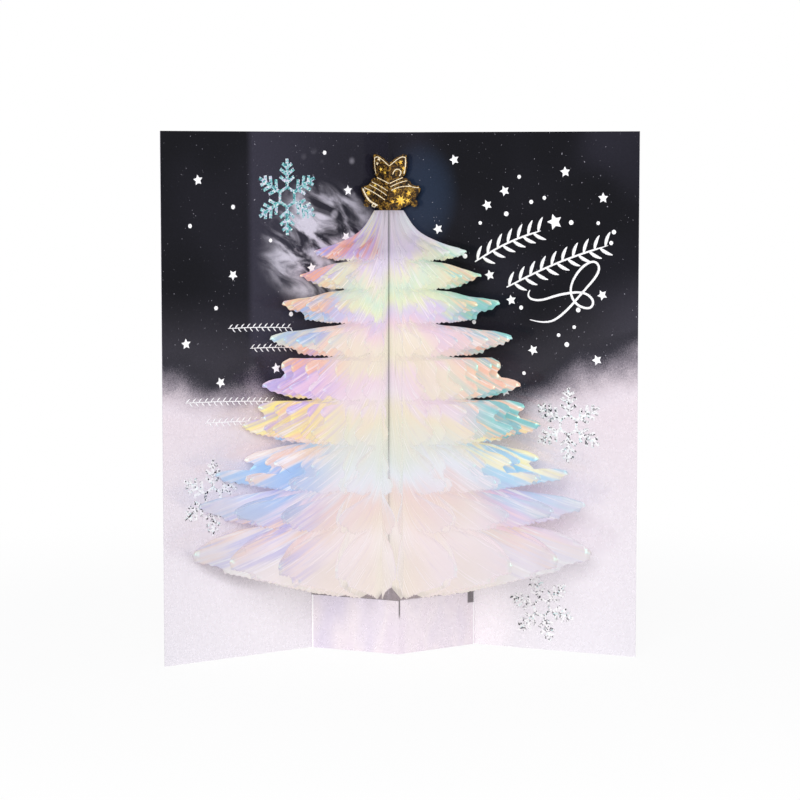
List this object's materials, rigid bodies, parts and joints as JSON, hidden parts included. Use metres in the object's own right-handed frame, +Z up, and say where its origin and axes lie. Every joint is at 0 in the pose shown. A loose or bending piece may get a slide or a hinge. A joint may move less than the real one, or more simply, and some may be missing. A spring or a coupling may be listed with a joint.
{
  "type": "pop up card",
  "caption": "Tall folded greeting card standing open, with a fan of pearly film leaves cut as a half tree, a gold foil topper, foil snowflakes and a folded base strip.",
  "frame": {"origin": "foot of the spine, at the middle of the board's thickness, on the surface the card stands on", "axes": "+Z up the spine; the card opens towards -Y, with the reader's left page on -X and right page on +X"},
  "size_m": [0.2046, 0.1044, 0.228],
  "materials": {
    "mirror_board": "mirror laminated board, printed as a night sky over pale snow",
    "strip_board": "pale mirror laminated board",
    "pearl_film": "translucent pearl film that shifts through pastel colours",
    "gold_foil_card": "gold mirror foil on thin card",
    "silver_foil": "glittering holographic silver foil"
  },
  "bodies": {
    "root": {"folded_card": "mirror_board", "base_strip": "strip_board", "film_leaf_01": "pearl_film", "film_leaf_02": "pearl_film", "film_leaf_03": "pearl_film", "film_leaf_04": "pearl_film", "film_leaf_05": "pearl_film", "film_leaf_06": "pearl_film", "film_leaf_07": "pearl_film", "film_leaf_08": "pearl_film", "film_leaf_09": "pearl_film", "film_leaf_10": "pearl_film", "film_leaf_11": "pearl_film", "film_leaf_12": "pearl_film", "film_leaf_13": "pearl_film", "film_leaf_14": "pearl_film", "film_leaf_15": "pearl_film", "film_leaf_16": "pearl_film", "gold_topper": "gold_foil_card", "foil_snowflake_left_upper": "silver_foil", "foil_snowflake_left_lower": "silver_foil", "foil_snowflake_right_middle": "silver_foil", "foil_snowflake_right_lower": "silver_foil"}
  },
  "joints": []
}
